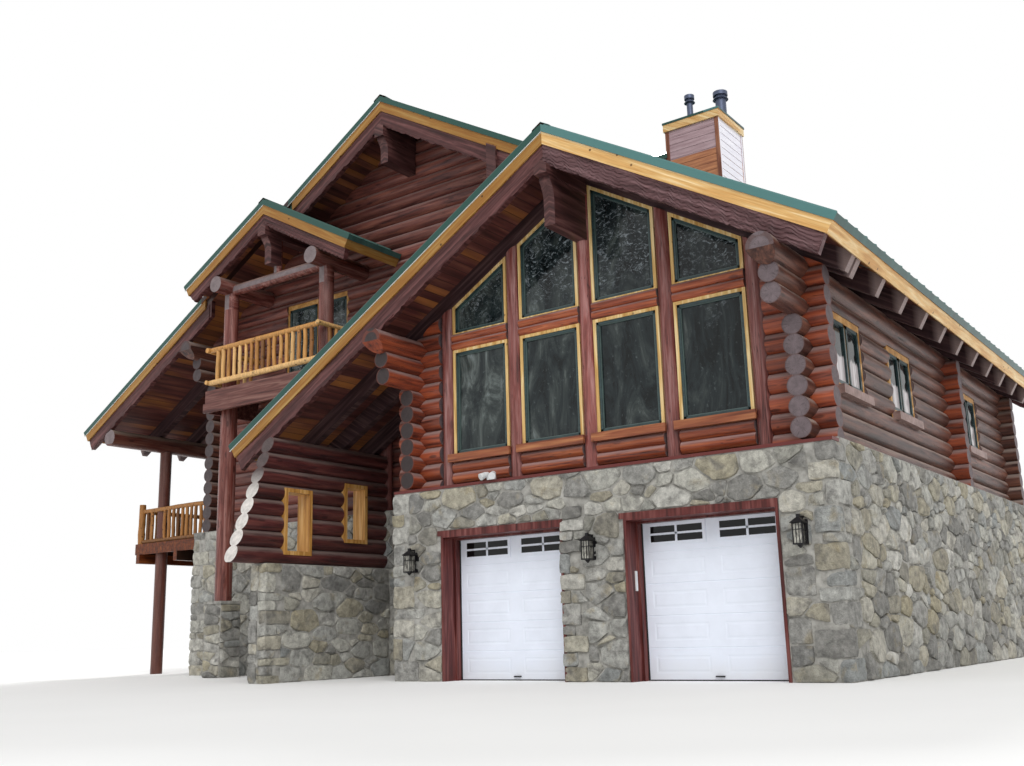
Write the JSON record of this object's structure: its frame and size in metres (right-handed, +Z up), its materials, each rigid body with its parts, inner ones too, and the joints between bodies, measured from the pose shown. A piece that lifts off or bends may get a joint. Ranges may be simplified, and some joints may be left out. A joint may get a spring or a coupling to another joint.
{
  "type": "alpine chalet",
  "caption": "Log chalet on a stone garage storey: a gabled glass front wing, a taller gabled log house with a post-carried balcony, a covered side deck and a boxed chimney.",
  "frame": {"origin": "middle of the building's bounding box, at ground level", "axes": "+Z up, the gabled front with the garage doors faces -Y, the main ridge runs along Y, X runs across the front"},
  "size_m": [20.9, 15.76, 12.665],
  "materials": {
    "stone": "rough split face rubble in grey mortar",
    "floor_boards": "sawn boards",
    "door_enamel": "satin white enamel",
    "door_lining": "red-brown stain",
    "lantern_black": "black enamel",
    "stained_log": "peeled log with a red-brown stain",
    "sill_board": "knotty board with an orange-brown stain",
    "honey_pine": "clear varnished knotty pine",
    "green_sash": "dark green enamel",
    "window_glass": "dark clear glazing",
    "green_roof": "standing seam sheet, green enamel",
    "adzed_board": "hand adzed, purple-brown stain",
    "red_post": "glossy red-brown varnish",
    "rail_pine": "varnished peeled poles",
    "lap_siding": "lapped boards, brown stain",
    "flue_metal": "blue-black heat-proof enamel"
  },
  "bodies": {
    "root": {"garage_stone_wall": "stone", "right_stone_wall": "stone", "main_front_stone_wall": "stone", "rear_stone_walls": "stone", "porch_stone_wall": "stone", "balcony_post_pier": "stone", "main_floor": "floor_boards", "upper_floor": "floor_boards", "garage_doors": "door_enamel", "garage_door_linings": "door_lining", "wall_lanterns": "lantern_black", "crossing_logs": "stained_log", "window_posts": "stained_log", "window_rail_logs": "stained_log", "window_sills": "sill_board", "front_window_frames": "honey_pine", "front_window_glass": "window_glass", "right_log_wall": "stained_log", "wing_left_log_wall": "stained_log", "main_front_log_wall": "stained_log", "left_log_wall": "stained_log", "back_log_wall": "stained_log", "side_window_frames": "green_sash", "side_window_glass": "window_glass", "porch_log_wall": "stained_log", "porch_window_frames": "honey_pine", "porch_corner_post": "red_post", "main_roof_left": "green_roof", "main_roof_right": "green_roof", "front_roof": "green_roof", "balcony_roof": "green_roof", "fascia_boards": "honey_pine", "barge_boards": "adzed_board", "rafters": "adzed_board", "ridge_beams": "adzed_board", "balcony_floor": "sill_board", "balcony_frame": "red_post", "balcony_railing": "rail_pine", "deck_floor": "sill_board", "deck_posts": "stained_log", "deck_railing": "rail_pine", "chimney_chase": "lap_siding", "chimney_saddle": "green_roof", "chimney_cap": "honey_pine", "chimney_flues": "flue_metal"}
  },
  "joints": []
}
